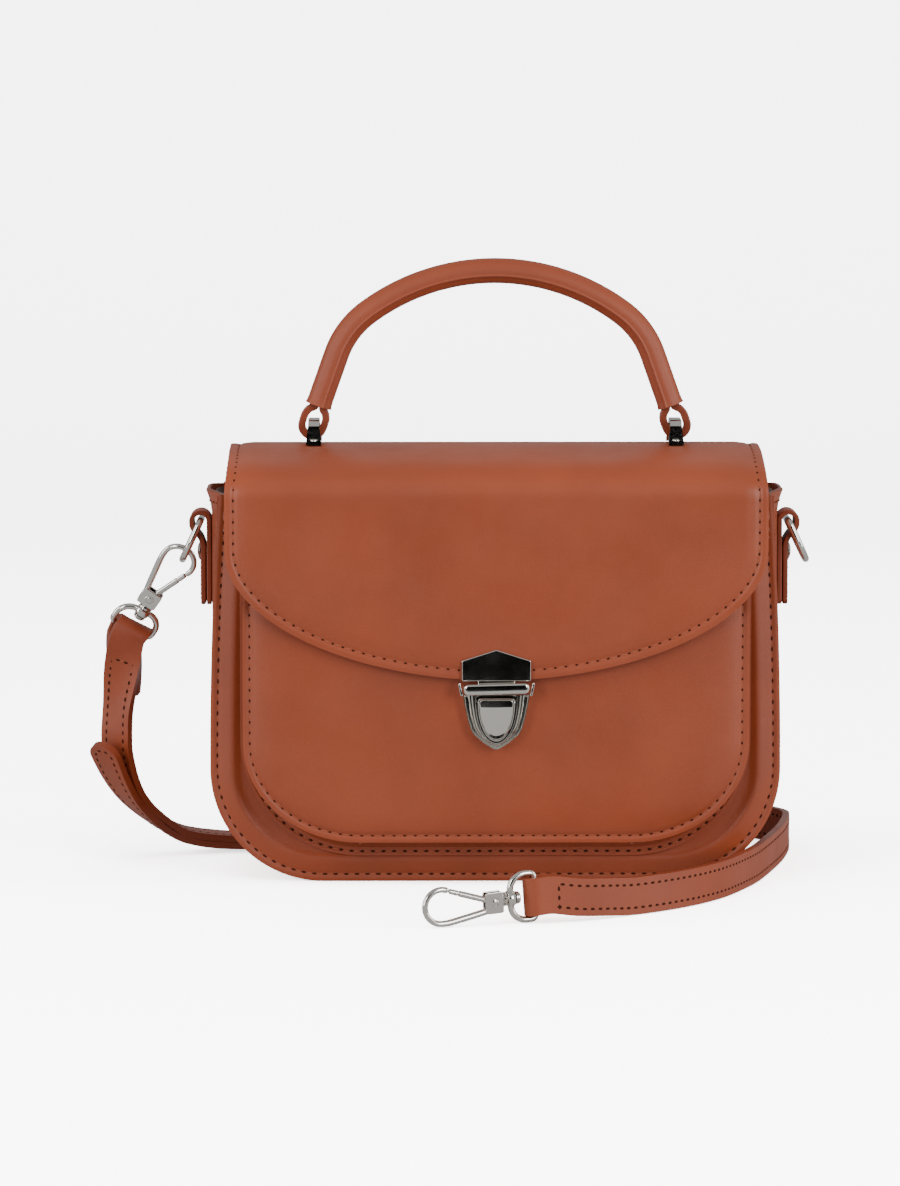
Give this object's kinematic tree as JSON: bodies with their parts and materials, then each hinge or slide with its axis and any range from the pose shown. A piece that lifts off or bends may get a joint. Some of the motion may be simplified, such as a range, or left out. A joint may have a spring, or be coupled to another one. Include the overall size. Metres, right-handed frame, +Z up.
{
  "type": "crossbody bag",
  "caption": "Structured flap bag with a padded top handle, a raised front pocket closed by a press lock, side rings and a buckled shoulder strap with snap hooks.",
  "frame": {"origin": "middle of the base, on the surface that the bag stands on", "axes": "+Z up, -Y out of the front of the bag, +X to the right of someone who looks at the front"},
  "size_m": [0.278, 0.2407, 0.2396],
  "materials": {
    "tan_leather": "smooth, satin",
    "lining_leather": "suede, matt",
    "polished_metal": "polished",
    "board_fibre": "matt",
    "cord_filling": "twisted cord"
  },
  "bodies": {
    "bag": {"back_panel": "tan_leather", "front_panel": "tan_leather", "main_gusset": "tan_leather", "flap_anchor": "tan_leather", "base_board": "board_fibre", "back_lining": "lining_leather", "front_lining": "lining_leather", "gusset_lining": "lining_leather", "slip_pocket": "lining_leather", "pocket_gusset": "tan_leather", "pocket_front": "tan_leather", "pocket_lining": "lining_leather", "lock_body": "polished_metal", "lock_bridge": "polished_metal", "lock_spring": "polished_metal", "lock_backplate": "polished_metal", "side_tab_left": "tan_leather", "side_tab_right": "tan_leather", "tab_rivet_left": "polished_metal", "tab_rivet_right": "polished_metal", "strap_short": "tan_leather", "strap_long": "tan_leather", "strap_buckle": "polished_metal", "strap_buckle_prong": "polished_metal", "strap_keeper": "tan_leather", "left_hook_ring": "polished_metal"},
    "flap": {"flap_outer": "tan_leather", "flap_lining": "lining_leather", "lock_plate": "polished_metal", "lock_plate_washer": "polished_metal", "handle_bridge_left": "polished_metal", "handle_bridge_right": "polished_metal", "bridge_washer_left": "polished_metal", "bridge_washer_right": "polished_metal"},
    "handle": {"handle_cover": "tan_leather", "handle_core": "cord_filling", "handle_loop_left": "tan_leather", "handle_loop_right": "tan_leather"},
    "button": {"lock_button": "polished_metal"},
    "ring_left": {"side_ring_left": "polished_metal"},
    "ring_right": {"side_ring_right": "polished_metal"},
    "left_hook": {"left_hook_body": "polished_metal", "left_hook_pin": "polished_metal", "left_hook_rivet": "polished_metal"},
    "left_gate": {"left_hook_gate": "polished_metal"},
    "right_swivel": {"right_hook_ring": "polished_metal"},
    "right_hook": {"right_hook_body": "polished_metal", "right_hook_pin": "polished_metal", "right_hook_rivet": "polished_metal"},
    "right_gate": {"right_hook_gate": "polished_metal"}
  },
  "joints": [
    {"name": "flap_hinge", "type": "hinge", "parent": "bag", "child": "flap", "pos_m": [0, 0.0336, 0.15], "axis": [-1, 0, 0], "range_deg": [0, 150]},
    {"name": "handle_swing", "type": "hinge", "parent": "flap", "child": "handle", "pos_m": [0, -0.006, 0.1765], "axis": [1, 0, 0], "range_deg": [-28, 28]},
    {"name": "lock_button_push", "type": "slide", "parent": "bag", "child": "button", "axis": [0, 1, 0], "range_m": [0, 0.0015], "stiffness_N_per_m": 200, "deforming": ["lock_spring"]},
    {"name": "ring_left_turn", "type": "hinge", "parent": "bag", "child": "ring_left", "pos_m": [-0.1143, 0, 0.1375], "axis": [0, 1, 0], "range_deg": [-2, 2]},
    {"name": "ring_right_turn", "type": "hinge", "parent": "bag", "child": "ring_right", "pos_m": [0.1143, 0, 0.1375], "axis": [0, -1, 0], "range_deg": [0, 120]},
    {"name": "left_hook_swivel", "type": "hinge", "parent": "bag", "child": "left_hook", "pos_m": [-0.13758, 0.01026, 0.10065], "axis": [0.531, -0.3657, 0.7644], "range_deg": [-8, 8]},
    {"name": "left_gate_turn", "type": "hinge", "parent": "left_hook", "child": "left_gate", "pos_m": [-0.13449, 0.00783, 0.10598], "axis": [-0.1828, -0.9303, -0.3181], "range_deg": [0, 26], "stiffness_Nm_per_rad": 0.005},
    {"name": "right_ring_turn", "type": "hinge", "parent": "bag", "child": "right_swivel", "pos_m": [0.0128, -0.1285, 0.0102], "axis": [-0.061, -0.021, 0.9979], "range_deg": [-60, 60]},
    {"name": "right_hook_swivel", "type": "hinge", "parent": "right_swivel", "child": "right_hook", "pos_m": [0.00384, -0.13159, 0.00959], "axis": [-0.9435, -0.3249, -0.0645], "range_deg": [-90, 90]},
    {"name": "right_gate_turn", "type": "hinge", "parent": "right_hook", "child": "right_gate", "pos_m": [-0.00236, -0.13372, 0.00866], "axis": [0.3256, -0.9455, 0], "range_deg": [0, 26], "stiffness_Nm_per_rad": 0.005}
  ]
}
